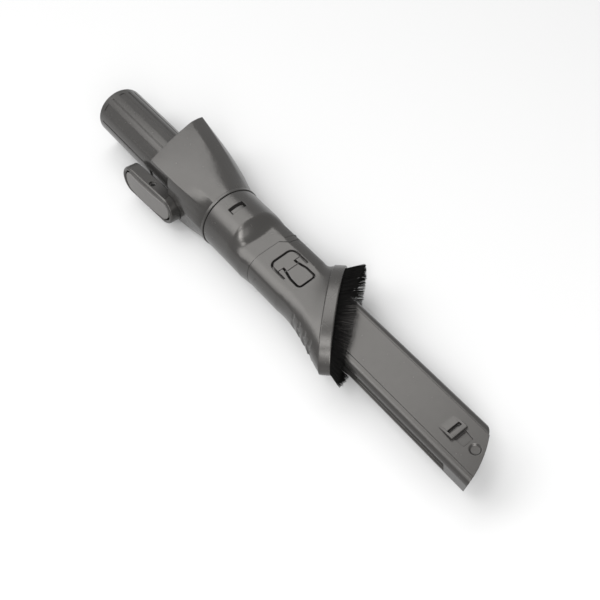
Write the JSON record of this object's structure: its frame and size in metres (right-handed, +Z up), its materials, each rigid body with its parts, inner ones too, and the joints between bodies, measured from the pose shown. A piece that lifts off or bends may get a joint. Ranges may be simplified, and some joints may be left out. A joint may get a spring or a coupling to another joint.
{
  "type": "vacuum crevice tool with sliding brush",
  "caption": "Flat slanted crevice nozzle with a sliding oval brush, round collar, and a flared connector with fluted inlet tube and side rocker button.",
  "frame": {"origin": "centre of the free end of the inlet tube", "axes": "+X along the air path to the nozzle tip, +Y across, +Z up from the surface it lies on"},
  "size_m": [0.37, 0.0728, 0.0453],
  "materials": {
    "grey_plastic": "satin moulded",
    "ring_plastic": "satin moulded",
    "pad_plastic": "satin moulded",
    "dark_plastic": "matte moulded",
    "bristle_fibre": "nylon filament",
    "seal_rubber": "matte",
    "pin_steel": "zinc plated"
  },
  "bodies": {
    "base": {"inlet_tube": "grey_plastic", "connector_body": "grey_plastic", "spigot_seal": "seal_rubber", "rocker_bezel": "grey_plastic", "rocker_pin": "pin_steel", "rocker_spring": "pin_steel", "bezel_screws": "pin_steel", "tool_collar": "grey_plastic", "nozzle": "grey_plastic"},
    "brush": {"brush_housing": "grey_plastic", "brush_ring": "ring_plastic", "bristle_carrier": "dark_plastic", "bristles": "bristle_fibre"},
    "button": {"release_button": "grey_plastic"},
    "rocker": {"rocker_pad": "pad_plastic"}
  },
  "joints": [
    {"name": "brush_slide", "type": "slide", "parent": "base", "child": "brush", "axis": [1, 0, 0], "range_m": [0, 0.132]},
    {"name": "release_press", "type": "hinge", "parent": "brush", "child": "button", "pos_m": [0.2039, 0, 0.0129], "axis": [0, -1, 0], "range_deg": [0, 3.5], "stiffness_Nm_per_rad": 0.5},
    {"name": "side_rock", "type": "hinge", "parent": "base", "child": "rocker", "pos_m": [0.083, -0.02588, -0.002], "axis": [-0.0107, 0.2196, 0.9755], "range_deg": [-4, 4], "stiffness_Nm_per_rad": 0.3}
  ]
}
